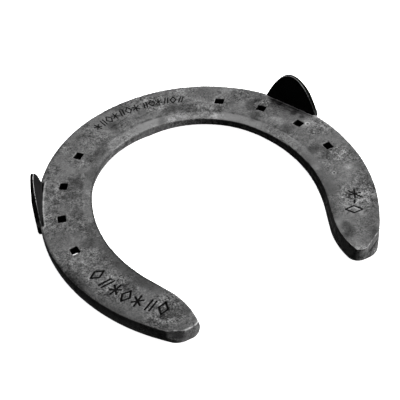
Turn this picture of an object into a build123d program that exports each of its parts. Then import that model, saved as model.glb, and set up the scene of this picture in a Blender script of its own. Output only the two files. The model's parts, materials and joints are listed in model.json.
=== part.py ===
from build123d import *
import os
from math import asin, cos, degrees, radians, sin

# A light concave front horseshoe with one quarter clip on each side.
#
# Millimetres. +Y points to the toe, +X to the right branch and +Z up to the hoof.
# The shoe lies on its ground surface, z = 0. The origin is the centre of its footprint.
#
# A place on a curved edge is given by its heading: degrees clockwise from the toe,
# seen from the hoof side, about the centre of the arc that it lies on.

# Driving dimensions
WIDTH = 124.0
LENGTH = 121.6
THICKNESS = 6.4

# Outer edge: toe arc, quarter arc and heel arc, each tangent to the next
OUTER_TOE_RADIUS = 60.0
OUTER_TOE_END = 60.5
OUTER_QUARTER_END = 103.5
OUTER_HEEL_RADIUS = 81.0
OUTER_HEEL_ROUND = 7.0

# Inner edge: toe arc, quarter arc, straight branch, and a heel arc that turns back
TOE_WEB = 21.8
INNER_TOE_RADIUS = 38.0
INNER_TOE_END = 59.6
INNER_QUARTER_RADIUS = 58.7
INNER_QUARTER_END = 112.8
BRANCH_STRAIGHT = 9.9
INNER_HEEL_RADIUS = 31.3
INNER_HEEL_ROUND = 5.0

# Flat bevel on the hoof side of each heel end, ground by hand and so not alike
RIGHT_HEEL_BEVEL = 1.6
LEFT_HEEL_BEVEL = 0.7
HEEL_BEVEL_HEADING = 150.0
HEEL_BEVEL_RISE = 1.2

# Section at the inner edge, from the hoof surface down: a shallow seating slope, a
# wall, and under it a concave slope back to the ground surface. The wall stands
# upright at the toe and flares towards the ground along the branch.
SEATING_WIDTH = 4.5
SEATING_DROP = 0.7
WALL_FLARE = 1.3
NOSE_HEIGHT = 1.9
CONCAVE_WIDTH = 8.5

# Where those change, as shares of the way along the edge that each one follows
FLARE_START = 0.56
FLARE_FULL = 0.78
SEATING_FADE = 0.5
CONCAVE_FADE = 0.42
# How far the seating and the concave have left the metal where they end
CLEAR_OF_METAL = 0.6

# Rounding of the outer edge at the ground surface
GROUND_EDGE_ROUND = 1.2

# Nail line: one arc on each branch, with evenly spaced square holes
NAIL_LINE_RADIUS = 59.0
NAIL_LINE_X = -5.1
NAIL_LINE_Y = -6.3
FIRST_NAIL = 38.5
NAIL_STEP = 17.35
NAILS_PER_SIDE = 4
HOLE_LENGTH = 3.65
HOLE_WIDTH = 3.12
HOLE_TAPER = 4.0

# Crease in the ground surface, along the nail line
CREASE_START = 26.0
CREASE_END = 114.0
CREASE_MOUTH = 5.6
CREASE_FLOOR = 3.8
CREASE_DEPTH = 1.8

# Quarter clip: a thin blade on a root that is let into the outer edge and narrows
# towards the ground. Its back is rounded, thick at the middle and thin at both ends.
CLIP_HEADING = 67.2
CLIP_INSET = 1.5
CLIP_HALF_WIDTH = 12.3
CLIP_ROOT_HALF_WIDTH = 9.5
CLIP_HEIGHT = 13.8
CLIP_LEAN = 1.0
CLIP_THICKNESS = 3.0
CLIP_FOOT_THICKNESS = 1.9
CLIP_TIP_THICKNESS = 1.3
CLIP_END_THICKNESS = 1.8

TOE_Y = LENGTH / 2
HEEL_Y = -LENGTH / 2
OUTER_QUARTER_RADIUS = (
    (WIDTH / 2 - OUTER_TOE_RADIUS * sin(radians(OUTER_TOE_END)))
    / (1 - sin(radians(OUTER_TOE_END)))
)
# How far a cutting shape runs on past the surface that it cuts
BEYOND = 4.0


def toward(heading):
    """Unit vector that points along a heading."""
    return Vector(sin(radians(heading)), cos(radians(heading)))


def arc(centre, radius, start, end):
    """Arc about a centre, from one heading to another."""
    return CenterArc(centre, radius, 90 - start, start - end)


def next_centre(centre, radius, next_radius, heading):
    """Centre of the arc that carries on tangent from another at a heading."""
    return centre + toward(heading) * (radius - next_radius)


NAIL_LINE_CENTRE = Vector(NAIL_LINE_X, NAIL_LINE_Y)
OUTER_TOE_CENTRE = Vector(0, TOE_Y - OUTER_TOE_RADIUS)
OUTER_QUARTER_CENTRE = next_centre(
    OUTER_TOE_CENTRE, OUTER_TOE_RADIUS, OUTER_QUARTER_RADIUS, OUTER_TOE_END
)


def outer_edge():
    """Outer edge of the right half, from the toe to the heel end."""
    heel_centre = next_centre(
        OUTER_QUARTER_CENTRE, OUTER_QUARTER_RADIUS, OUTER_HEEL_RADIUS, OUTER_QUARTER_END
    )
    heel_end = 90 + degrees(asin((heel_centre.Y - HEEL_Y) / OUTER_HEEL_RADIUS))
    return [
        arc(OUTER_TOE_CENTRE, OUTER_TOE_RADIUS, 0, OUTER_TOE_END),
        arc(OUTER_QUARTER_CENTRE, OUTER_QUARTER_RADIUS, OUTER_TOE_END, OUTER_QUARTER_END),
        arc(heel_centre, OUTER_HEEL_RADIUS, OUTER_QUARTER_END, heel_end),
    ]


def inner_edge():
    """Inner edge of the right half at its widest, from the toe to the heel end."""
    toe_centre = Vector(0, TOE_Y - TOE_WEB - INNER_TOE_RADIUS)
    quarter_centre = next_centre(
        toe_centre, INNER_TOE_RADIUS, INNER_QUARTER_RADIUS, INNER_TOE_END
    )
    toe = arc(toe_centre, INNER_TOE_RADIUS, 0, INNER_TOE_END)
    quarter = arc(quarter_centre, INNER_QUARTER_RADIUS, INNER_TOE_END, INNER_QUARTER_END)
    branch = Line(quarter @ 1, quarter @ 1 + (quarter % 1) * BRANCH_STRAIGHT)
    heel_centre = branch @ 1 + toward(INNER_QUARTER_END) * INNER_HEEL_RADIUS
    heel_end = 90 - degrees(asin((heel_centre.Y - HEEL_Y) / INNER_HEEL_RADIUS))
    heel = CenterArc(
        heel_centre,
        INNER_HEEL_RADIUS,
        270 - INNER_QUARTER_END,
        INNER_QUARTER_END - heel_end,
    )
    return [toe, quarter, branch, heel]


def right_edge():
    """Edge of the right half: inner toe, quarter, branch and heel, inner heel round, heel
    end, outer heel round, then outer heel, quarter and toe."""
    outer = outer_edge()
    inner = inner_edge()
    inner_corner = inner[-1] @ 1
    outer_corner = outer[-1] @ 1
    edge = Wire([*inner, Line(inner_corner, outer_corner), *outer[::-1]])
    for corner, radius in (
        (inner_corner, INNER_HEEL_ROUND),
        (outer_corner, OUTER_HEEL_ROUND),
    ):
        vertex = edge.vertices().sort_by_distance(corner)[0]
        edge = edge.fillet_2d(radius, [vertex])
    return edge.edges()


def section(path, place, points):
    """Section across an edge of the shoe; its points are (into the metal, height)."""
    along = path % place
    across = Plane(origin=path @ place, x_dir=Vector(-along.Y, along.X), z_dir=along)
    return across * make_face(Polyline(*points, close=True))


def wall_cut(edges):
    """What lies beyond the inner wall: upright at the toe, flared to the ground at the heel."""
    heel = edges[-1]
    path = Wire([*edges, Line(heel @ 1, heel @ 1 + (heel % 1) * 2 * BEYOND)])
    feet = {0: WALL_FLARE, FLARE_START: WALL_FLARE, FLARE_FULL: 0, 1: 0}
    sections = [
        section(path, place, [
            (-BEYOND, 0),
            (foot, 0),
            (WALL_FLARE, THICKNESS),
            (-BEYOND, THICKNESS),
        ])
        for place, foot in feet.items()
    ]
    return sweep(sections, path=path, multisection=True)


def seating_cut(edges):
    """What the shallow seating slope takes off; it rises out of the metal at the heel."""
    path = Wire(edges)
    drops = {0: SEATING_DROP, SEATING_FADE: SEATING_DROP, 1: -CLEAR_OF_METAL}
    sections = [
        section(path, place, [
            (-BEYOND, THICKNESS - drop),
            (WALL_FLARE, THICKNESS - drop),
            (WALL_FLARE + SEATING_WIDTH, THICKNESS - drop + SEATING_DROP),
            (WALL_FLARE + SEATING_WIDTH, THICKNESS + BEYOND),
            (-BEYOND, THICKNESS + BEYOND),
        ])
        for place, drop in drops.items()
    ]
    return sweep(sections, path=path, multisection=True)


def concave_cut(edges):
    """What the concave slope takes off below the nose; it sinks out of the metal."""
    path = Wire(edges)
    noses = {0: NOSE_HEIGHT, CONCAVE_FADE: NOSE_HEIGHT, 1: -CLEAR_OF_METAL}
    sections = [
        section(path, place, [
            (-BEYOND, -2 * BEYOND),
            (-BEYOND, nose),
            (WALL_FLARE, nose),
            (CONCAVE_WIDTH, nose - NOSE_HEIGHT),
            (CONCAVE_WIDTH, -2 * BEYOND),
        ])
        for place, nose in noses.items()
    ]
    return sweep(sections, path=path, multisection=True)


def heel_bevel(edges, width):
    """What a flat bevel of a width takes off the hoof side of the right heel end."""
    outer_round, *_ = edges[-4:]
    out = toward(HEEL_BEVEL_HEADING)
    end = outer_round.arc_center + out * (outer_round.radius - width)
    across = Plane(
        origin=Vector(end.X, end.Y, THICKNESS),
        x_dir=out,
        z_dir=toward(HEEL_BEVEL_HEADING - 90),
    )
    points = [(0, 0), (BEYOND, -BEYOND * HEEL_BEVEL_RISE), (BEYOND, BEYOND), (0, BEYOND)]
    wedge = make_face(Polyline(*points, close=True))
    return extrude(across * wedge, 3 * BEYOND, both=True)


def nail_place(number):
    """Centre of a nail hole at the hoof surface, lying square to the nail line."""
    heading = FIRST_NAIL + number * NAIL_STEP
    centre = NAIL_LINE_CENTRE + toward(heading) * NAIL_LINE_RADIUS
    return Pos(centre.X, centre.Y, THICKNESS) * Rot(0, 0, -heading)


def nail_hole(number):
    """Square hole right through, narrowest at the hoof surface."""
    mouth = Rectangle(HOLE_LENGTH, HOLE_WIDTH)
    return nail_place(number) * extrude(mouth, -THICKNESS - BEYOND, taper=-HOLE_TAPER)


def crease():
    """Groove in the ground surface along the nail line, with rounded ends."""
    start = Plane(
        origin=NAIL_LINE_CENTRE,
        x_dir=toward(CREASE_START),
        z_dir=toward(CREASE_START + 90),
    )
    mouth = CREASE_MOUTH / 2
    floor = CREASE_FLOOR / 2
    trough = make_face(Polyline(
        (NAIL_LINE_RADIUS - mouth, 0),
        (NAIL_LINE_RADIUS - floor, CREASE_DEPTH),
        (NAIL_LINE_RADIUS + floor, CREASE_DEPTH),
        (NAIL_LINE_RADIUS + mouth, 0),
        close=True,
    ))
    axis = Axis(NAIL_LINE_CENTRE, (0, 0, -1))
    groove = revolve(start * trough, axis=axis, revolution_arc=CREASE_END - CREASE_START)
    for heading in (CREASE_START, CREASE_END):
        end = NAIL_LINE_CENTRE + toward(heading) * NAIL_LINE_RADIUS
        cone = Cone(mouth, floor, CREASE_DEPTH, align=(Align.CENTER, Align.CENTER, Align.MIN))
        groove += Pos(end.X, end.Y, 0) * cone
    return groove


def right_half(edges):
    """The right half of the shoe, before its heel bevel and its clip's seat are cut."""
    toe_line = Line(edges[-1] @ 1, edges[0] @ 0)
    half = extrude(make_face(Wire([*edges, toe_line])), THICKNESS)
    arcs = half.edges().filter_by(GeomType.CIRCLE)
    outer = arcs.filter_by(lambda edge: edge.radius >= OUTER_TOE_RADIUS)
    half = fillet(outer.group_by(Axis.Z)[0], GROUND_EDGE_ROUND)
    toe, quarter, branch, heel = edges[:4]
    half -= wall_cut([toe, quarter, branch, heel])
    half -= seating_cut([toe, quarter])
    half -= concave_cut([toe, quarter])
    half -= crease()
    for number in range(NAILS_PER_SIDE):
        half -= nail_hole(number)
    return half


def right_clip():
    """Blade that stands up from the hoof surface, and the root below it."""
    out = toward(CLIP_HEADING)
    foot = OUTER_QUARTER_CENTRE + out * (OUTER_QUARTER_RADIUS - CLIP_INSET)
    foot = Vector(foot.X, foot.Y, THICKNESS)
    chord = Vector(-out.Y, out.X)
    front = Plane(origin=foot, x_dir=chord, z_dir=out)
    side = Plane(origin=foot, x_dir=out, z_dir=-chord)
    above = Plane(origin=foot, x_dir=-chord)
    blade = Bezier(
        (-CLIP_HALF_WIDTH, 0),
        (0, 2 * CLIP_HEIGHT),
        (CLIP_HALF_WIDTH, 0),
    )
    root = Polyline(
        (CLIP_HALF_WIDTH, 0),
        (CLIP_ROOT_HALF_WIDTH, -THICKNESS),
        (-CLIP_ROOT_HALF_WIDTH, -THICKNESS),
        (-CLIP_HALF_WIDTH, 0),
    )
    outline = extrude(front * make_face([blade, root]), 2 * CLIP_THICKNESS)
    wedge = make_face(Polyline(
        (0, -THICKNESS),
        (0, 0),
        (CLIP_LEAN, CLIP_HEIGHT),
        (CLIP_LEAN + CLIP_TIP_THICKNESS, CLIP_HEIGHT),
        (CLIP_THICKNESS, 0),
        (CLIP_FOOT_THICKNESS, -THICKNESS),
        close=True,
    ))
    back = ThreePointArc(
        (-CLIP_HALF_WIDTH, CLIP_END_THICKNESS),
        (0, CLIP_THICKNESS),
        (CLIP_HALF_WIDTH, CLIP_END_THICKNESS),
    )
    face = Polyline(
        (CLIP_HALF_WIDTH, CLIP_END_THICKNESS),
        (CLIP_HALF_WIDTH, 0),
        (-CLIP_HALF_WIDTH, 0),
        (-CLIP_HALF_WIDTH, CLIP_END_THICKNESS),
    )
    plan = make_face([back, face])
    outline &= extrude(side * wedge, 2 * CLIP_HALF_WIDTH, both=True)
    return outline & extrude(above * plan, 2 * CLIP_HEIGHT, both=True)


def mirrored(shape):
    """The same shape on the left."""
    return mirror(shape, about=Plane.YZ)


def shoe_body(right_clip_shape):
    """The whole shoe, with a seat cut for each clip."""
    edges = right_edge()
    right = right_half(edges)
    body = right + mirrored(right)
    body -= heel_bevel(edges, RIGHT_HEEL_BEVEL)
    body -= mirrored(heel_bevel(edges, LEFT_HEEL_BEVEL))
    body -= right_clip_shape
    body -= mirrored(right_clip_shape)
    return body


def main():
    clip = right_clip()
    os.makedirs("parts", exist_ok=True)
    export_step(shoe_body(clip), "parts/shoe_body.step")
    export_step(clip, "parts/right_quarter_clip.step")
    export_step(mirrored(clip), "parts/left_quarter_clip.step")


main()
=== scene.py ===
import json
from math import cos, pi, radians, sin

import bmesh
import bpy
import numpy as np
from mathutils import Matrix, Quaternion, Vector, noise


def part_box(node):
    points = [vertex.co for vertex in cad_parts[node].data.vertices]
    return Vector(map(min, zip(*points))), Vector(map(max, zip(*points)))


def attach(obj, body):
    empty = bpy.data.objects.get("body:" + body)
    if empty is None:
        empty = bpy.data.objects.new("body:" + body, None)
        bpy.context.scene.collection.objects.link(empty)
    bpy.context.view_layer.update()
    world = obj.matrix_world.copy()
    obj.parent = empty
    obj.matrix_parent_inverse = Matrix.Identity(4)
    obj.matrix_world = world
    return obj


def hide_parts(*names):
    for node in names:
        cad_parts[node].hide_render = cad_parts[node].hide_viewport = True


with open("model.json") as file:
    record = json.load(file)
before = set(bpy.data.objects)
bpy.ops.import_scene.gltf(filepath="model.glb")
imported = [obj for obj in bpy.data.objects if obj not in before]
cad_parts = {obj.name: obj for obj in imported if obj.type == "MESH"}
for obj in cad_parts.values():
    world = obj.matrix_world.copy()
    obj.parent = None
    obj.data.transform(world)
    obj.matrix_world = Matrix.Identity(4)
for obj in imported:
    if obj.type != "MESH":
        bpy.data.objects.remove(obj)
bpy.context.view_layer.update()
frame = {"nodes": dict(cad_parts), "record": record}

# Scene of a concave front horseshoe with two quarter clips. Metres; +Y is the toe,
# +X the right branch, +Z the hoof. A heading is an angle clockwise from the toe.

MM = 0.001

# The shoe, as in part.py: its edges are arcs, (radius, heading at which each one ends)
_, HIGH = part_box("shoe_body")
THICKNESS = HIGH.z
OUTER_TOE_RADIUS = 60.0 * MM
OUTER_TOE_END = radians(60.5)
OUTER_QUARTER_RADIUS = (
    (HIGH.x - OUTER_TOE_RADIUS * sin(OUTER_TOE_END)) / (1 - sin(OUTER_TOE_END))
)
OUTER_ARCS = [
    (OUTER_TOE_RADIUS, OUTER_TOE_END),
    (OUTER_QUARTER_RADIUS, radians(103.5)),
    (81.0 * MM, pi),
]
INNER_TOE_RADIUS = 38.0 * MM
INNER_ARCS = [(INNER_TOE_RADIUS, radians(59.6)), (58.7 * MM, pi)]
# The bar's width at the toe, and how far a nail hole reaches round its centre
TOE_WEB = 21.8 * MM
HOLE_REACH = 3.0 * MM
# The seating's two sides, in from the inner edge at its widest
SEATING_LINE = 5.8 * MM
SEATING_EDGE = 1.6 * MM
# The clips, and the raised line in front of the foot of each
CLIP_HEADING = radians(67.2)
CLIP_INSET = 1.5 * MM
CLIP_HALF_WIDTH = 12.3 * MM
LEDGE_INSET = 0.5 * MM
LEDGE_BEND = 0.9 * MM

# Places on the hoof surface, in millimetres. Scores beside the right clip: start and end
# along its foot, and distance in from its face. Scores under the toe marks: start and end
SCORES_BY_CLIP = [
    (-9.0, -3.5, 1.2), (-2.5, 4.5, 1.3), (-6.0, 0.0, 2.2), (2.0, 7.5, 2.1), (-1.0, 2.5, 3.0),
]
TOE_SCORES = [
    ((-13.2, 48.5), (-5.4, 50.9)), ((-2.0, 48.3), (4.5, 48.9)), ((-12.0, 46.6), (-8.0, 48.0)),
]
# Coarse scale, ring pits, and thick soot beside the right clip: x, y and radius
ROUGH_PLACES = [
    (57.0, 4.0, 5.0), (55.5, -13.0, 4.0), (50.0, -35.0, 7.0), (-48.0, -32.0, 7.0),
    (-38.0, -50.0, 8.0), (8.0, 53.0, 6.0), (-57.0, 12.0, 5.0), (46.0, 30.0, 5.0),
]
RING_PITS = [(54.2, 8.4, 0.8), (47.3, -21.5, 0.7)]
SOOT = [(51.8, 25.4, 1.7), (50.4, 28.2, 1.3), (53.4, 17.2, 1.6), (54.5, 13.4, 1.2)]
HOLE_SMUDGE_RADIUS = 3.0
HOLE_SMUDGE_OFFSET = 5.5 * MM
WALL_LINE_HEIGHT = 3.5 * MM

# Meshes: face sizes, the limit for the body, and the edges that sharpness looks across
BODY_VOXEL = 0.3 * MM
CLIP_VOXEL = 0.22 * MM
MOST_TRIANGLES = 190_000
EDGE_REACH = 3

# Camera
CAMERA_AZIMUTH = radians(25.084)
CAMERA_ELEVATION = radians(43.441)
CAMERA_ROLL = radians(-4.762)
CAMERA_DISTANCE = 442.18 * MM
CAMERA_TARGET = Vector((-0.51, -2.37, 0.90)) * MM
CAMERA_LENS = 104.84

# Lights: name, direction from the shoe, distance, size and power
LIGHTS = [
    ("low_side", Vector((0.734, -0.646, 0.208)), 1.9, 0.65, 63),
    ("overhead", Vector((0.42, 0.16, 0.893)), 1.0, 0.75, 17.5),
]

# Floor: radius and height of its rings from the flat middle up, in metres
FLOOR_PROFILE = [(1.6, 0), (2.3, 0.2), (2.6, 0.8), (2.6, 2.2)]
FLOOR_STEPS = 64


def toward(heading):
    """Unit vector on the ground that points along a heading."""
    return Vector((sin(heading), cos(heading)))


# --- Mesh tools -------------------------------------------------------------------


def points_of(mesh):
    """The mesh's vertices as rows of x, y, z."""
    flat = np.empty(len(mesh.vertices) * 3)
    mesh.vertices.foreach_get("co", flat)
    return flat.reshape(-1, 3)


def normals_of(mesh):
    """The mesh's vertex normals as rows of x, y, z."""
    flat = np.empty(len(mesh.vertices) * 3)
    mesh.vertices.foreach_get("normal", flat)
    return flat.reshape(-1, 3)


def set_points(mesh, points):
    """Moves the mesh's vertices to these rows of x, y, z."""
    mesh.vertices.foreach_set("co", points.astype(np.float32).ravel())
    mesh.update()


def store(mesh, name, values):
    """Keeps one number per vertex for the materials to read."""
    mesh.attributes.new(name, "FLOAT", "POINT").data.foreach_set(
        "value", values.astype(np.float32)
    )


def smooth_step(low, high, values):
    """0 up to low, 1 from high, and a smooth rise between."""
    share = np.clip((values - low) / (high - low), 0, 1)
    return share * share * (3 - 2 * share)


def noise_at(points, size, seed=0.0):
    """Smooth noise from -1 to 1 at each point, with features of about that size."""
    shift = Vector((seed, seed, seed))
    return np.array([noise.noise(Vector(point) / size + shift) for point in points])


def apply_modifiers(piece):
    """Makes the piece's modifiers part of its mesh."""
    graph = bpy.context.evaluated_depsgraph_get()
    shaped = bpy.data.meshes.new_from_object(piece.evaluated_get(graph))
    piece.modifiers.clear()
    piece.data = shaped


def remeshed(node, name, voxel):
    """New piece in a CAD node's shape, in fine even faces with softened edges."""
    piece = bpy.data.objects.new(name, frame["nodes"][node].data.copy())
    bpy.context.scene.collection.objects.link(piece)
    weld = piece.modifiers.new("weld", "WELD")
    weld.merge_threshold = 0.001 * MM
    remesh = piece.modifiers.new("remesh", "REMESH")
    remesh.mode = "VOXEL"
    remesh.voxel_size = voxel
    soften = piece.modifiers.new("soften", "SMOOTH")
    soften.factor = 0.5
    soften.iterations = 3
    apply_modifiers(piece)
    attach(piece, "root")
    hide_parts(node)
    return piece


def thin_out(piece, most):
    """Merges the flattest faces until at most that many triangles are left."""
    triangles = sum(len(face.vertices) - 2 for face in piece.data.polygons)
    if triangles > most:
        decimate = piece.modifiers.new("thin", "DECIMATE")
        decimate.ratio = most / triangles
        apply_modifiers(piece)


# --- Forged detail ----------------------------------------------------------------


def past_edge(points, toe_y, arcs):
    """How far each point lies outside an edge of arcs that starts at the toe."""
    right = np.abs(points[:, 0])
    centre = Vector((0, toe_y - arcs[0][0]))
    past = np.zeros(len(points))
    undecided = np.ones(len(points), bool)
    for (radius, end), (next_radius, _) in zip(arcs, arcs[1:] + arcs[-1:]):
        across = right - centre.x
        ahead = points[:, 1] - centre.y
        here = undecided & (np.arctan2(across, ahead) < end)
        past[here] = (np.hypot(across, ahead) - radius)[here]
        undecided &= ~here
        centre = centre + toward(end) * (radius - next_radius)
    return past


def from_inner_edge(points):
    """How far each point lies into the metal from the inner edge at its widest."""
    return past_edge(points, HIGH.y - TOE_WEB, INNER_ARCS)


def from_outer_edge(points):
    """How far each point lies into the metal from the outer edge."""
    return -past_edge(points, HIGH.y, OUTER_ARCS)


def clip_foot():
    """Middle of the right clip's face at the hoof surface."""
    quarter_centre = Vector((0, HIGH.y - OUTER_TOE_RADIUS))
    quarter_centre += toward(OUTER_TOE_END) * (OUTER_TOE_RADIUS - OUTER_QUARTER_RADIUS)
    return quarter_centre + toward(CLIP_HEADING) * (OUTER_QUARTER_RADIUS - CLIP_INSET)


def from_clip(points):
    """(distance towards the heel from the clip's middle, distance out from its face)."""
    out = toward(CLIP_HEADING)
    foot = clip_foot()
    right = np.abs(points[:, 0]) - foot.x
    ahead = points[:, 1] - foot.y
    return right * out.y - ahead * out.x, right * out.x + ahead * out.y


def nail_holes():
    """Centre of each nail hole at the hoof surface, from the record's mounts."""
    return {
        mount["name"]: Vector(mount["pos_m"])
        for mount in frame["record"]["mounts"]
        if mount["name"].startswith("nail_hole")
    }


# Punched marks, as lines of points in a box one high, upright along y
DIAMOND = [[(0, 0.5), (0.3, 0), (0, -0.5), (-0.3, 0), (0, 0.5)]]
STAR = [
    [(-0.34 * sin(turn), -0.45 * cos(turn)), (0.34 * sin(turn), 0.45 * cos(turn))]
    for turn in (0, pi / 3, 2 * pi / 3)
]
BARS = [[(-0.16, -0.42), (-0.02, 0.42)], [(0.12, -0.42), (0.26, 0.42)]]


def placed(mark, centre, across, height):
    """The mark's strokes with its upright along a direction, as (start, end) pairs."""
    up = Vector(across).normalized()
    side = Vector((up.y, -up.x))
    strokes = []
    for line in mark:
        corners = [Vector(centre) + (side * x + up * y) * height for x, y in line]
        strokes += zip(corners, corners[1:])
    return strokes


def row(marks, start, middle, end, height):
    """Marks spaced evenly along a curve from start to end, bent towards middle."""
    start, middle, end = (Vector(point) * MM for point in (start, middle, end))
    strokes = []
    for index, mark in enumerate(marks):
        t = index / (len(marks) - 1)
        centre = start * (1 - t) ** 2 + middle * 2 * t * (1 - t) + end * t ** 2
        along = (middle - start) * (1 - t) + (end - middle) * t
        strokes += placed(mark, centre, (-along.y, along.x), height)
    return strokes


def stroke_distance(points, strokes):
    """Distance on the ground from each point to the nearest stroke."""
    nearest = np.full(len(points), 1.0)
    for start, end in strokes:
        run = np.array(end - start)
        offset = points[:, :2] - np.array(start)
        share = np.clip(offset @ run / (run @ run), 0, 1)
        gap = np.hypot(*(offset - share[:, None] * run).T)
        nearest = np.minimum(nearest, gap)
    return nearest


def punched_strokes():
    """(strokes, half width, depth) of each group of punched marks."""
    branch = row(
        [DIAMOND, BARS, STAR, DIAMOND, STAR, BARS, DIAMOND],
        (-51.9, -21.8), (-49.6, -37.6), (-39.0, -48.0), 5.6 * MM,
    )
    toe = row(
        [STAR, BARS, DIAMOND, STAR, BARS, DIAMOND, STAR],
        (-17.6, 51.8), (-9.0, 55.6), (0.6, 54.4), 4.2 * MM,
    )
    toe += row(
        [BARS, DIAMOND, STAR, BARS, DIAMOND, BARS],
        (4.6, 54.0), (12.0, 53.4), (18.6, 49.4), 4.0 * MM,
    )
    heel = placed(STAR, Vector((47.4, -35.0)) * MM, (-0.4, 0.9), 6.0 * MM)
    heel += placed(BARS[:1], Vector((45.2, -38.6)) * MM, (0.4, 0.9), 1.8 * MM)
    heel += placed(DIAMOND, Vector((42.7, -41.8)) * MM, (0.86, -0.52), 6.2 * MM)
    return [
        (branch, 0.40 * MM, 0.35 * MM),
        (toe, 0.28 * MM, 0.12 * MM),
        (heel, 0.34 * MM, 0.25 * MM),
    ]


def forging_scores():
    """Scratches left by the hammer beside the right clip and under the toe marks."""
    out = toward(CLIP_HEADING)
    along = Vector((out.y, -out.x))
    strokes = []
    for start, end, inset in SCORES_BY_CLIP:
        foot = clip_foot() - out * inset * MM
        strokes.append((foot + along * start * MM, foot + along * end * MM))
    for start, end in TOE_SCORES:
        strokes.append((Vector(start) * MM, Vector(end) * MM))
    return strokes


def mark_depth(points, groups):
    """Depth of the punched marks below each point."""
    depth = np.zeros(len(points))
    for strokes, half_width, deepest in groups:
        gap = stroke_distance(points, strokes)
        bottom = 1 - smooth_step(0.3 * half_width, 1.3 * half_width, gap)
        depth = np.maximum(depth, deepest * bottom)
    return depth


def refine_near(mesh, strokes, reach):
    """Halves the faces of the hoof surface near the strokes."""
    points = points_of(mesh)
    upper = points[:, 2] > THICKNESS - 1.0 * MM
    near = upper & (stroke_distance(points, strokes) < reach)
    work = bmesh.new()
    work.from_mesh(mesh)
    work.verts.ensure_lookup_table()
    edges = [
        edge for edge in work.edges
        if near[edge.verts[0].index] and near[edge.verts[1].index]
    ]
    bmesh.ops.subdivide_edges(work, edges=edges, cuts=1, use_grid_fill=True)
    bmesh.ops.triangulate(work, faces=[face for face in work.faces if len(face.verts) > 4])
    work.to_mesh(mesh)
    work.free()


def sharpness(mesh, reach):
    """How far each vertex stands proud of those within reach edges, above 0 on ridges."""
    points = points_of(mesh)
    ends = np.empty(len(mesh.edges) * 2, np.int64)
    mesh.edges.foreach_get("vertices", ends)
    first, second = ends.reshape(-1, 2).T
    average = points.copy()
    for _ in range(reach):
        total = average.copy()
        count = np.ones(len(points))
        np.add.at(total, first, average[second])
        np.add.at(total, second, average[first])
        np.add.at(count, first, 1)
        np.add.at(count, second, 1)
        average = total / count[:, None]
    return np.einsum("ij,ij->i", points - average, normals_of(mesh))


def upper_side(points, normals):
    """1 on the hoof surface and the seating, 0 elsewhere."""
    return smooth_step(0.6, 0.9, normals[:, 2]) * (points[:, 2] > THICKNESS - 1.8 * MM)


def blots(points, places):
    """1 inside round blots with ragged edges, each (x, y, radius) in millimetres."""
    ragged = noise_at(points, 2.5 * MM, 21.0) * 0.45
    inside = np.zeros(len(points))
    for x, y, radius in places:
        gap = np.hypot(points[:, 0] / MM - x, points[:, 1] / MM - y) / radius
        inside = np.maximum(inside, 1 - smooth_step(0.45, 1.3, gap + ragged))
    return inside


def seat_line(points):
    """The faint groove where the seating meets the hoof surface, 1 at its bottom."""
    gap = np.abs(from_inner_edge(points) - SEATING_LINE)
    broken = smooth_step(-0.4, 0.2, noise_at(points, 4 * MM, 31.0))
    ahead = smooth_step(-12 * MM, 12 * MM, points[:, 1])
    return broken * ahead * (1 - smooth_step(0.1 * MM, 0.8 * MM, gap))


def ledge_gap(points):
    """How far each point lies behind the line along its clip's foot, towards the clip.

    The right line is straight; the left one bends with the outer edge of the shoe."""
    along, out = from_clip(points)
    bend = np.where(points[:, 0] < 0, LEDGE_BEND * (along / CLIP_HALF_WIDTH) ** 2, 0)
    gap = out + LEDGE_INSET + bend
    return np.where(np.abs(along) < CLIP_HALF_WIDTH, gap, -HIGH.x)


def clip_ledge(points):
    """The raised line that runs along the foot of each clip's face, 1 at its top."""
    return 1 - smooth_step(0.15 * MM, 0.45 * MM, np.abs(ledge_gap(points)))


def clip_groove(points):
    """The gap between that line and the clip's face, 1 inside it: soot, and painted shade at the
    foot of the clip.
    """
    return smooth_step(0.2 * MM, 0.45 * MM, ledge_gap(points))


def clip_burr(points):
    """The small swelling at the heel end of each clip's foot, 1 at its top."""
    along, out = from_clip(points)
    gap = np.hypot(along - CLIP_HALF_WIDTH, out + 0.5 * MM)
    gap += 0.3 * MM * noise_at(points, 0.9 * MM, 3.0)
    return 1 - smooth_step(0.2 * MM, 1.8 * MM, gap)


def ring_pits(points):
    """(raised rim, sunk middle) of a few round pits in the hoof surface, 1 at their most."""
    rims = np.zeros(len(points))
    middles = np.zeros(len(points))
    for x, y, radius in RING_PITS:
        gap = np.hypot(points[:, 0] / MM - x, points[:, 1] / MM - y) / radius
        rims = np.maximum(rims, 1 - smooth_step(0.1, 0.4, np.abs(gap - 1)))
        middles = np.maximum(middles, 1 - smooth_step(0.3, 0.8, gap))
    return rims, middles


def dress_heels(points, normals):
    """Moves the left heel inwards and slims the right one, as on a shoe dressed by hand."""
    left = (points[:, 0] < 0) * smooth_step(40 * MM, 60 * MM, -points[:, 1])
    points[:, 0] += 0.28 * MM * left
    points[:, 1] += 0.21 * MM * left
    right = (points[:, 0] > 0) * smooth_step(30 * MM, 50 * MM, -points[:, 1])
    points[:, :2] -= 0.35 * MM * right[:, None] * normals[:, :2]


def slant_hole(points, hole):
    """Leans the toe side of a nail hole forward, as if it was punched at a slant."""
    aside = np.abs(points[:, 0] - hole.x)
    ahead = points[:, 1] - hole.y
    near = (aside < 2.6 * MM) & (ahead > 0) & (ahead < 3.2 * MM)
    below = np.clip(THICKNESS - 0.5 * MM - points[:, 2], 0, None)
    points[:, 1] += near * below * 0.1


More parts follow.
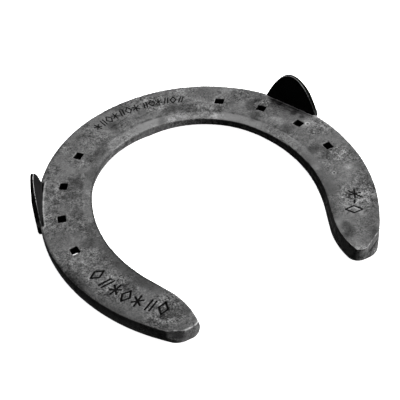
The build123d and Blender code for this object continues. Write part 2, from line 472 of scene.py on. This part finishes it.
def hoof_relief(points, groups):
    """Depth of the marks, scores, lines and pits of the hoof surface below each point."""
    margin = np.clip(1 - from_outer_edge(points) / (1.5 * MM), 0, 1)
    score = stroke_distance(points, forging_scores())
    rims, middles = ring_pits(points)
    sunk = mark_depth(points, groups)
    sunk += 0.10 * MM * (1 - smooth_step(0.1 * MM, 0.5 * MM, score))
    sunk += 0.12 * MM * seat_line(points)
    sunk += 0.10 * MM * margin ** 2
    sunk -= 0.16 * MM * clip_ledge(points)
    sunk -= 0.35 * MM * clip_burr(points)
    sunk += 0.20 * MM * middles - 0.08 * MM * rims
    return sunk


def hammered_relief(points):
    """Depth of the hammer's waves and dimples and of the scale's pits at each point."""
    waves = noise_at(points, 9 * MM) * 0.07 * MM
    dimples = noise_at(points, 2.4 * MM, 5.0) * 0.045 * MM
    pits = smooth_step(0.35, 0.6, noise_at(points, 1.5 * MM, 9.0)) * 0.06 * MM
    return waves + dimples + pits


def make_body(groups):
    """The forged shoe with its punched marks, clip ledges and hammered surface."""
    piece = remeshed("shoe_body", "forged_shoe", BODY_VOXEL)
    refine_near(piece.data, [stroke for group in groups for stroke in group[0]], 1.2 * MM)
    mesh = piece.data
    points = points_of(mesh)
    normals = normals_of(mesh)
    top = upper_side(points, normals)
    sunk = hoof_relief(points, groups) * top + hammered_relief(points)
    sunk = np.where(top > 0, sunk, np.maximum(sunk, 0.01 * MM))
    points -= normals * sunk[:, None]
    dress_heels(points, normals)
    slant_hole(points, nail_holes()["nail_hole_left_4"])
    set_points(mesh, points)
    thin_out(piece, MOST_TRIANGLES)
    return piece


def make_clip(node, name):
    """A quarter clip with hammered faces."""
    piece = remeshed(node, name, CLIP_VOXEL)
    mesh = piece.data
    points = points_of(mesh)
    waves = noise_at(points, 6 * MM, 3.0) * 0.06 * MM
    dimples = noise_at(points, 1.8 * MM, 7.0) * 0.03 * MM
    sunk = 0.07 * MM + waves + dimples
    set_points(mesh, points - normals_of(mesh) * sunk[:, None])
    return piece


# --- Masks for the materials ------------------------------------------------------


def store_edge_masks(mesh, edge):
    """Keeps where the mesh has worn edges and where it has hollows, which the materials darken.
    """
    store(mesh, "edge", smooth_step(0.03 * MM, 0.14 * MM, edge))
    store(mesh, "hollow", smooth_step(0.02 * MM, 0.10 * MM, -edge))


def seating_band(points):
    """1 on the seating and 0 on the rest of the hoof surface."""
    return 1 - smooth_step(-0.9 * MM, 0.1 * MM, from_inner_edge(points) - SEATING_LINE)


def on_left(points):
    """0 at the toe's middle, rising to 1 on the left branch."""
    return smooth_step(6 * MM, 28 * MM, -points[:, 0])


def hole_smudges(points):
    """Soot gathered on the inner side of each nail hole, 1 where it is darkest."""
    middle = Vector((0, HIGH.y - OUTER_TOE_RADIUS))
    places = []
    for hole in nail_holes().values():
        place = (hole.xy + (middle - hole.xy).normalized() * HOLE_SMUDGE_OFFSET) / MM
        places.append((place.x, place.y, HOLE_SMUDGE_RADIUS))
    return blots(points, places)


def scattered(points, size, seed):
    """1 inside scattered patches of about that size."""
    return smooth_step(0.25, 0.5, noise_at(points, size, seed))


def wall_line(points):
    """The thin lighter line along the inner wall of the right branch, 1 at its middle."""
    wander = 0.3 * MM * noise_at(points, 12 * MM, 71.0)
    gap = np.abs(points[:, 2] - WALL_LINE_HEIGHT + wander)
    right = smooth_step(14 * MM, 24 * MM, points[:, 0])
    return right * (1 - smooth_step(0.1 * MM, 0.4 * MM, gap))


def soot_and_shade_lines(points, groups):
    """1 in the punched marks, behind the clip ledges and along the left inner edge: soot, with
    painted shade behind the ledges at the foot of each clip.
    """
    soot_and_shade = np.zeros(len(points))
    for strokes, half_width, _ in groups:
        gap = stroke_distance(points, strokes)
        soot_and_shade = np.maximum(soot_and_shade, 1 - smooth_step(0.85 * half_width, 1.2 * half_width, gap))
    # Painted shade, with soot, in the gap at the foot of each clip.
    soot_and_shade = np.maximum(soot_and_shade, clip_groove(points))
    edge_gap = np.abs(from_inner_edge(points) - SEATING_EDGE)
    edge_line = 1 - smooth_step(0.25 * MM, 0.6 * MM, edge_gap)
    edge_line *= smooth_step(14 * MM, 24 * MM, -points[:, 0])
    soot_and_shade = np.maximum(soot_and_shade, 0.75 * edge_line)
    return soot_and_shade * (points[:, 2] > THICKNESS - 1.6 * MM)


def smudges(points):
    """1 where the hoof surface is darkest with soot: by the holes and the left seating."""
    beside = 1 - smooth_step(0.5 * MM, 3.5 * MM, np.abs(from_inner_edge(points) - 8.5 * MM))
    beside *= on_left(points) * (0.5 + noise_at(points, 6 * MM, 81.0))
    beside *= 1 - smooth_step(12 * MM, 24 * MM, np.abs(points[:, 1] - 12 * MM))
    smudge = np.maximum(hole_smudges(points), scattered(points, 8 * MM, 91.0))
    smudge = np.maximum(smudge, 0.4 * seating_band(points) * on_left(points))
    return np.maximum(smudge, beside)


def streaks(points):
    """1 on the dark lines of the hoof surface: scores, seat line and left outer edge."""
    score = 1 - smooth_step(0.15 * MM, 0.5 * MM, stroke_distance(points, forging_scores()))
    broken = smooth_step(-0.5, 0.2, noise_at(points, 1.6 * MM, 51.0))
    outer_line = 1 - smooth_step(0.3 * MM, 0.9 * MM, from_outer_edge(points))
    outer_line *= smooth_step(-25 * MM, 5 * MM, -points[:, 0]) * (points[:, 1] > -30 * MM)
    return np.maximum(np.maximum(seat_line(points), score) * broken, 0.8 * outer_line)


def bare_spots_and_ledge_highlight(points):
    """1 where the tone is lightened: bare steel on the burrs and the pits' rims, and a painted
    highlight along the top of each clip ledge.
    """
    bare_and_highlight = np.maximum(clip_ledge(points), clip_burr(points))
    return np.maximum(bare_and_highlight, ring_pits(points)[0])


def heel_rim_highlight(points, edge):
    """1 on the bright broken line round the upper edge of each heel: a worn edge, made lighter
    still as a painted highlight.
    """
    rim = smooth_step(0.03 * MM, 0.09 * MM, edge)
    rim *= smooth_step(-0.2, 0.3, noise_at(points, 1.8 * MM, 61.0))
    return rim * smooth_step(52 * MM, 57 * MM, -points[:, 1]) * (points[:, 2] > THICKNESS / 2)


def dark_margins(points):
    """1 along the edges of the branches behind the quarters, where the scale is darkest."""
    ragged = 1.5 * MM * noise_at(points, 5 * MM, 41.0)
    outer = 1 - smooth_step(1 * MM, 6 * MM, from_outer_edge(points) + ragged)
    outer *= smooth_step(0, 20 * MM, -points[:, 1])
    inner = 1 - smooth_step(2 * MM, 9 * MM, from_inner_edge(points) + ragged)
    inner *= smooth_step(-6 * MM, 12 * MM, -points[:, 1])
    inner *= 1 - smooth_step(34 * MM, 50 * MM, -points[:, 1])
    return np.maximum(outer, inner)


def painted_floor_bounce(points):
    """1 on the lower part of the walls ahead of the heels, lightened there as painted bounce
    light from the floor.
    """
    low = 1 - smooth_step(2.2 * MM, 5.0 * MM, points[:, 2])
    return low * (1 - smooth_step(48 * MM, 58 * MM, -points[:, 1]))


def shaded_wall(points):
    """1 on the inner wall of the right branch, fading towards the heel."""
    ahead = 1 - smooth_step(5 * MM, 45 * MM, -points[:, 1])
    return ahead * smooth_step(8 * MM, 26 * MM, points[:, 0])


def hole_bores(points):
    """1 inside the nail holes, below the hoof surface, where they are darkened to near black as
    painted shade.
    """
    bore_shade = np.zeros(len(points))
    for hole in nail_holes().values():
        gap = np.hypot(points[:, 0] - hole.x, points[:, 1] - hole.y)
        bore_shade = np.maximum(bore_shade, gap < HOLE_REACH)
    return bore_shade * (1 - smooth_step(-0.5 * MM, -0.2 * MM, points[:, 2] - THICKNESS))


def store_body_masks(mesh, groups, edge):
    """Keeps what the body's material needs to know of each vertex's place."""
    points = points_of(mesh)
    normals = normals_of(mesh)
    top = upper_side(points, normals)
    wall = 1 - smooth_step(0.4, 0.7, np.abs(normals[:, 2]))
    outer_wall = wall * (from_outer_edge(points) < 3 * MM)
    inner_wall = wall * (from_inner_edge(points) < 3 * MM)
    band = seating_band(points)
    seated = smooth_step(-32 * MM, 2 * MM, points[:, 1])
    bright = scattered(points, 6 * MM, 95.0) * smooth_step(-50 * MM, 30 * MM, points[:, 0])
    masks = {
        "seating": band * seated * (1 - 0.9 * on_left(points)) * top,
        "soot_and_shade": soot_and_shade_lines(points, groups),
        "smudge": smudges(points) * top,
        "streak": streaks(points) * top,
        "rough": (blots(points, ROUGH_PLACES) - 0.5 * band) * top,
        "soot": blots(points, SOOT) * top,
        "bright": bright * top,
        # Painted highlight on the clip ledges, with bare steel on the burrs and the pits' rims.
        "bare_and_highlight": bare_spots_and_ledge_highlight(points) * top,
        # Painted highlight on the worn upper edge of each heel.
        "heel_rim_highlight": heel_rim_highlight(points, edge),
        "margin": dark_margins(points) * top,
        # Painted bounce light: the lower outer walls are made lighter, as if lit from the floor.
        "floor_bounce_light": painted_floor_bounce(points) * outer_wall,
        "wall_line": wall_line(points) * inner_wall,
        "shade": shaded_wall(points) * inner_wall,
        # Painted shade: the bores of the nail holes are made nearly black.
        "bore_shade": hole_bores(points),
    }
    for name, values in masks.items():
        store(mesh, name, values)


def store_clip_masks(mesh, side):
    """Keeps the clip's rim, the worn arris inside it with a painted highlight that grows towards
    the tip, and its root in the edge of the shoe.
    """
    points = points_of(mesh)
    out = np.array((side * sin(CLIP_HEADING), cos(CLIP_HEADING), 0))
    facing = normals_of(mesh) @ out
    height = points[:, 2] - THICKNESS
    store(mesh, "rim", 1 - smooth_step(0.5, 0.85, np.abs(facing)))
    arris_wear_and_highlight = smooth_step(0.35, 0.6, -facing) * (1 - smooth_step(0.8, 0.95, -facing))
    # The arris brightens towards the tip as a painted highlight on top of its wear.
    store(mesh, "arris_wear_and_highlight", arris_wear_and_highlight * (0.2 + 0.8 * smooth_step(6 * MM, 11 * MM, height)))
    store(mesh, "root", 1 - smooth_step(0, 3 * MM, height))


# --- Materials --------------------------------------------------------------------


def add(tree, kind, inputs=None, **settings):
    """A shader node with its settings, and its inputs set or linked."""
    made = tree.nodes.new(kind)
    for name, value in settings.items():
        setattr(made, name, value)
    for name, value in (inputs or {}).items():
        if isinstance(value, bpy.types.NodeSocket):
            tree.links.new(value, made.inputs[name])
        else:
            made.inputs[name].default_value = value
    return made


def maths(tree, operation, first, second):
    """The result of one sum on two numbers or sockets."""
    return add(tree, "ShaderNodeMath", {0: first, 1: second}, operation=operation).outputs[0]


def spread(tree, value, low, high, to_low, to_high):
    """A value's range from low to high, clamped, as to_low to to_high."""
    inputs = {
        "Value": value, "From Min": low, "From Max": high, "To Min": to_low, "To Max": to_high,
    }
    return add(tree, "ShaderNodeMapRange", inputs).outputs["Result"]


def cloud(tree, place, size, detail, roughness=0.55):
    """Soft noise from 0 to 1 with features of about that size."""
    inputs = {"Vector": place, "Scale": 1 / size, "Detail": detail, "Roughness": roughness}
    return add(tree, "ShaderNodeTexNoise", inputs).outputs[0]


def spots(tree, place, size):
    """(distance, random number) of the nearest of many scattered centres."""
    made = add(tree, "ShaderNodeTexVoronoi", {"Vector": place, "Scale": 1 / size})
    return made.outputs["Distance"], made.outputs["Color"]


def mask(tree, name):
    """One of the numbers kept on the vertices."""
    return add(tree, "ShaderNodeAttribute", attribute_name=name).outputs["Fac"]


def multiply(tree, first, second):
    """The product of two numbers or sockets."""
    return maths(tree, "MULTIPLY", first, second)


def scale_texture(tree):
    """Place, and (patches, mottle, grain): the forge scale's variation at three sizes."""
    place = add(tree, "ShaderNodeTexCoord").outputs["Object"]
    patches = cloud(tree, place, 9 * MM, 3)
    mottle = cloud(tree, place, 1.9 * MM, 3)
    grain = cloud(tree, place, 0.62 * MM, 2, 0.8)
    return place, (patches, mottle, grain)


def scaled(tree, tone, texture, contrast, coarse=1.0):
    """A tone that varies with the scale texture, whose finer two sizes follow coarse."""
    patches, mottle, grain = texture
    shares = contrast[0], multiply(tree, coarse, contrast[1]), multiply(tree, coarse, contrast[2])
    for value, share in zip((patches, mottle, grain), shares):
        swing = multiply(tree, spread(tree, value, 0.3, 0.7, -1, 1), share)
        tone = multiply(tree, tone, maths(tree, "ADD", swing, 1))
    return tone


def flecks(tree, place, size, share):
    """1 in scattered round flecks of about that size, on that share of their places."""
    distance, chance = spots(tree, place, 1.6 * size)
    return multiply(
        tree,
        spread(tree, distance, 0.2, 0.4, 1, 0),
        spread(tree, chance, 1 - share - 0.05, 1 - share, 0, 1),
    )


def finish_steel(tree, tone, soot_and_shade, texture, specular):
    """Ends a steel material: worn edges where it is free of soot and painted shade, roughness and
    fine relief.
    """
    _, mottle, grain = texture
    tone = multiply(tree, tone, spread(tree, mask(tree, "hollow"), 0, 1, 1, 0.15))
    wear = multiply(tree, mask(tree, "edge"), spread(tree, mottle, 0.35, 0.6, 0.3, 1))
    wear = multiply(tree, wear, spread(tree, soot_and_shade, 0, 1, 0.16, 0))
    tone = maths(tree, "ADD", tone, wear)
    relief = maths(tree, "ADD", multiply(tree, mottle, 1.5), multiply(tree, grain, 0.8))
    bump = add(
        tree, "ShaderNodeBump", {"Height": relief, "Strength": 0.7, "Distance": 0.1 * MM}
    )
    shader = add(tree, "ShaderNodeBsdfPrincipled", {
        "Base Color": tone,
        "Metallic": spread(tree, soot_and_shade, 0, 1, 0.3, 0),
        "Roughness": maths(tree, "MAXIMUM", spread(tree, mottle, 0.3, 0.7, 0.62, 0.48), soot_and_shade),
        "Specular IOR Level": specular,
        "Normal": bump.outputs["Normal"],
    })
    add(tree, "ShaderNodeOutputMaterial", {"Surface": shader.outputs[0]})


def new_material(name):
    """An empty node material and its tree."""
    material = bpy.data.materials.new(name)
    material.use_nodes = True
    material.node_tree.nodes.clear()
    return material, material.node_tree


def wrinkles(tree, place, size):
    """1 on fine winding lines about that far apart, 0 between them."""
    level = cloud(tree, place, size, 1)
    gap = add(tree, "ShaderNodeMath", {0: level, 1: 0.5}, operation="SUBTRACT").outputs[0]
    gap = add(tree, "ShaderNodeMath", {0: gap}, operation="ABSOLUTE").outputs[0]
    return spread(tree, gap, 0.0, 0.035, 1, 0)


def forged_steel():
    """Dull mottled forge scale, lighter on the seating, nearly black in the punched marks, with
    painted shade at the feet of the clips and in the nail holes.
    """
    material, tree = new_material("forged_scale")
    place, texture = scale_texture(tree)
    coarse = spread(tree, cloud(tree, place, 12 * MM, 1), 0.42, 0.58, 0.45, 1.25)
    coarse = maths(tree, "ADD", coarse, multiply(tree, mask(tree, "rough"), 0.9))
    tone = scaled(tree, 0.132, texture, (0.16, 0.4, 0.75), coarse)
    plain = spread(tree, texture[0], 0.4, 0.6, 1, 0.2)
    lines = multiply(tree, wrinkles(tree, place, 1.5 * MM), plain)
    tone = multiply(tree, tone, spread(tree, lines, 0, 1, 1, 0.45))
    tone = maths(tree, "ADD", tone, multiply(tree, flecks(tree, place, 0.9 * MM, 0.12), 0.06))
    # The clip ledges get a painted highlight here, and the burrs and pit rims the tone of bare
    # steel.
    # The upper edges of the heels get a painted highlight here.
    for name, extra in (("bare_and_highlight", 0.12), ("heel_rim_highlight", 0.35), ("wall_line", 0.3)):
        tone = maths(tree, "ADD", tone, multiply(tree, mask(tree, name), extra))
    # The bores of the nail holes are made nearly black here as painted shade.
    # The lower outer walls are made lighter here as painted bounce light from the floor.
    # The punched marks are made nearly black here with soot, and the gaps at the clips' feet as
    # painted shade.
    for name, factor in (
        ("seating", 1.45), ("bright", 1.5), ("smudge", 0.55), ("margin", 0.6),
        ("floor_bounce_light", 2.5), ("streak", 0.5), ("shade", 0.55), ("soot", 0.3),
        ("soot_and_shade", 0.04), ("bore_shade", 0.05),
    ):
        tone = multiply(tree, tone, spread(tree, mask(tree, name), 0, 1, 1, factor))
    # Soot, and painted shade at the clips' feet and in the nail holes: all dull and dark.
    soot_and_shade = maths(tree, "MAXIMUM", mask(tree, "soot_and_shade"), mask(tree, "bore_shade"))
    finish_steel(tree, tone, soot_and_shade, texture, 0.3)
    return material


def clip_steel():
    """Black forge scale, worn to grey along the arris between the clip's face and rim, and
    lighter there towards the tip as a painted highlight.
    """
    material, tree = new_material("black_scale")
    _, texture = scale_texture(tree)
    tone = spread(tree, mask(tree, "rim"), 0, 1, 0.008, 0.002)
    # Worn arris, with a painted highlight towards the tip.
    tone = maths(tree, "ADD", tone, multiply(tree, mask(tree, "arris_wear_and_highlight"), 0.45))
    root = spread(tree, mask(tree, "root"), 0, 1, 0, 0.02)
    tone = scaled(tree, maths(tree, "MAXIMUM", tone, root), texture, (0.2, 0.3, 0.5))
    soot_and_shade = spread(tree, mask(tree, "rim"), 0, 1, 0.7, 1)
    finish_steel(tree, tone, soot_and_shade, texture, 0.03)
    return material


# --- Stage ------------------------------------------------------------------------


def make_camera():
    """Camera that sees the shoe as the photograph does."""
    forward = Vector((
        cos(CAMERA_ELEVATION) * sin(CAMERA_AZIMUTH),
        cos(CAMERA_ELEVATION) * cos(CAMERA_AZIMUTH),
        -sin(CAMERA_ELEVATION),
    ))
    camera = bpy.data.objects.new("camera", bpy.data.cameras.new("camera"))
    bpy.context.scene.collection.objects.link(camera)
    camera.data.lens = CAMERA_LENS
    camera.location = CAMERA_TARGET - forward * CAMERA_DISTANCE
    camera.rotation_mode = "QUATERNION"
    roll = Quaternion((0, 0, 1), CAMERA_ROLL)
    camera.rotation_quaternion = forward.to_track_quat("-Z", "Y") @ roll
    bpy.context.scene.camera = camera


def make_light(name, place, size, power):
    """Square soft light that faces the shoe from a place."""
    light = bpy.data.objects.new(name, bpy.data.lights.new(name, "AREA"))
    bpy.context.scene.collection.objects.link(light)
    light.data.size = size
    light.data.energy = power
    light.location = place
    light.rotation_mode = "QUATERNION"
    light.rotation_quaternion = (-Vector(place)).to_track_quat("-Z", "Y")
    light.visible_camera = False
    light.visible_glossy = False


def floor_mesh():
    """A flat round floor that curves up into a round backdrop."""
    work = bmesh.new()
    rings = []
    turns = [2 * pi * step / FLOOR_STEPS for step in range(FLOOR_STEPS)]
    for radius, height in FLOOR_PROFILE:
        rings.append([
            work.verts.new((radius * cos(turn), radius * sin(turn), height)) for turn in turns
        ])
    work.faces.new(rings[0])
    for lower, upper in zip(rings, rings[1:]):
        for step in range(FLOOR_STEPS):
            after = (step + 1) % FLOOR_STEPS
            work.faces.new((lower[step], lower[after], upper[after], upper[step]))
    mesh = bpy.data.meshes.new("floor")
    work.to_mesh(mesh)
    work.free()
    return mesh


def pale_floor():
    """A dull white that gives light of its own, so that next to no shadow shows on it."""
    material = bpy.data.materials.new("pale_floor")
    material.use_nodes = True
    shader = material.node_tree.nodes["Principled BSDF"]
    shader.inputs["Base Color"].default_value = (0.8, 0.8, 0.8, 1)
    shader.inputs["Roughness"].default_value = 0.9
    shader.inputs["Specular IOR Level"].default_value = 0.1
    shader.inputs["Emission Color"].default_value = (1, 1, 1, 1)
    shader.inputs["Emission Strength"].default_value = 1.0
    return material


def make_floor():
    """The floor, which lights neither the shoe nor its reflections."""
    floor = bpy.data.objects.new("floor", floor_mesh())
    bpy.context.scene.collection.objects.link(floor)
    floor.visible_diffuse = False
    floor.visible_glossy = False
    floor.data.materials.append(pale_floor())


def make_world():
    """Faint even light from all round."""
    world = bpy.data.worlds.new("studio")
    bpy.context.scene.world = world
    world.use_nodes = True
    background = world.node_tree.nodes["Background"]
    background.inputs["Color"].default_value = (0.03, 0.03, 0.03, 1)


def paint(piece, material):
    """Gives the piece its material and smooth shading."""
    piece.data.materials.clear()
    piece.data.materials.append(material)
    piece.data.shade_smooth()


marks = punched_strokes()
body = make_body(marks)
body_edge = sharpness(body.data, EDGE_REACH)
store_edge_masks(body.data, body_edge)
store_body_masks(body.data, marks, body_edge)
paint(body, forged_steel())
black_scale = clip_steel()
for name, side in (("right", 1), ("left", -1)):
    clip = make_clip(f"{name}_quarter_clip", f"{name}_clip")
    store_edge_masks(clip.data, sharpness(clip.data, EDGE_REACH))
    store_clip_masks(clip.data, side)
    paint(clip, black_scale)

bpy.context.scene.view_settings.view_transform = "Standard"
make_camera()
for name, direction, distance, size, power in LIGHTS:
    make_light(name, direction * distance, size, power)
make_floor()
make_world()
